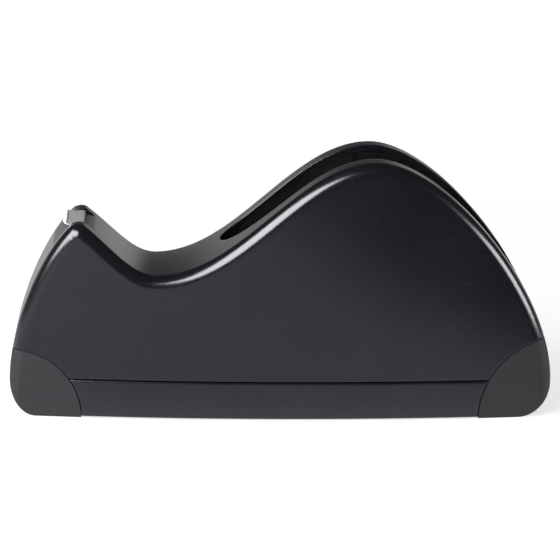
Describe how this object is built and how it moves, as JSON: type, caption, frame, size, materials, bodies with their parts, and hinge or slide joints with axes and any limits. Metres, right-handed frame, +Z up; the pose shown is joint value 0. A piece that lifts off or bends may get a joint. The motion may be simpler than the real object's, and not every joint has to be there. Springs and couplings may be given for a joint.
{
  "type": "desk tape dispenser with drawer",
  "caption": "Desk tape dispenser with a wavy housing, a roll well with a lift-out core hub, a toothed cutter at the nose and a shallow drawer in the base.",
  "frame": {"origin": "on the table under the middle of the body", "axes": "+X towards the rear end, +Y towards the far side, +Z up; the blade is at the -X end and the drawer opens towards -Y"},
  "size_m": [0.25, 0.059, 0.12],
  "materials": {
    "housing_plastic": "satin",
    "well_plastic": "satin",
    "base_plastic": "matte",
    "foot_rubber": "matte",
    "ballast_iron": "rough",
    "tray_plastic": "satin",
    "hub_plastic": "satin",
    "axle_steel": "turned",
    "blade_steel": "stamped",
    "screw_steel": "plated"
  },
  "bodies": {
    "housing": {"shell": "housing_plastic", "roll_well": "well_plastic", "base_frame": "base_plastic", "front_foot": "foot_rubber", "rear_foot": "foot_rubber", "ballast": "ballast_iron", "blade_holder": "well_plastic", "blade": "blade_steel", "case_screws": "screw_steel", "ballast_screws": "screw_steel", "foot_screws": "screw_steel", "holder_screws": "screw_steel"},
    "drawer": {"drawer_front": "housing_plastic", "drawer_tray": "tray_plastic", "drawer_screws": "screw_steel"},
    "axle": {"hub_axle": "axle_steel"},
    "hub": {"hub_wheel": "hub_plastic"}
  },
  "joints": [
    {"name": "drawer_slide", "type": "slide", "parent": "housing", "child": "drawer", "axis": [0, -1, 0], "range_m": [0, 0.03]},
    {"name": "axle_lift", "type": "slide", "parent": "housing", "child": "axle", "axis": [0, 0, 1], "range_m": [0, 0.13]},
    {"name": "hub_spin", "type": "hinge", "parent": "axle", "child": "hub", "pos_m": [0.049, 0, 0.0734], "axis": [0, 1, 0], "continuous": true}
  ]
}
